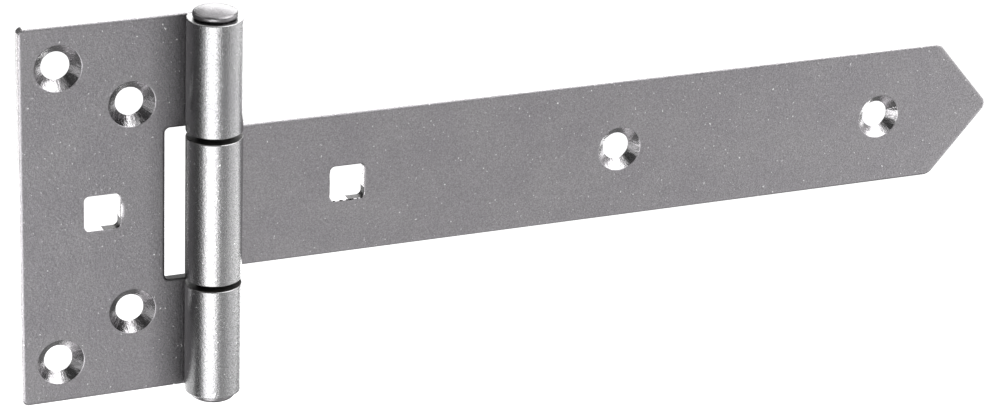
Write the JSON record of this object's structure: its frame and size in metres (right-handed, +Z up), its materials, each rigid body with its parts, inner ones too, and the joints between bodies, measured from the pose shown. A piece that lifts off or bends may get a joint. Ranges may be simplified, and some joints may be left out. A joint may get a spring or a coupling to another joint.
{
  "type": "tee hinge",
  "caption": "Tee hinge in satin sheet steel: a short frame leaf and a long pointed strap rolled round a riveted pin, with countersunk screw holes and square bolt holes.",
  "frame": {"origin": "middle of the frame leaf's square bolt hole, on the leaf's back face", "axes": "+X from the frame leaf along the strap to its point, +Y out of the back faces into the post and door, +Z up along the pin"},
  "size_m": [0.2513, 0.0132, 0.0974],
  "materials": {
    "leaf_steel": "satin zinc-plated sheet with a fine matt grain",
    "strap_steel": "satin zinc-plated sheet with a fine matt grain",
    "pin_steel": "satin zinc-plated rivet pin"
  },
  "bodies": {
    "frame": {"frame_leaf": "leaf_steel", "pin": "pin_steel"},
    "strap": {"strap": "strap_steel"}
  },
  "joints": [
    {"name": "strap_swing", "type": "hinge", "parent": "frame", "child": "strap", "pos_m": [0.0253, -0.00658, 0], "axis": [0, 0, -1], "range_deg": [-110, 180]}
  ]
}
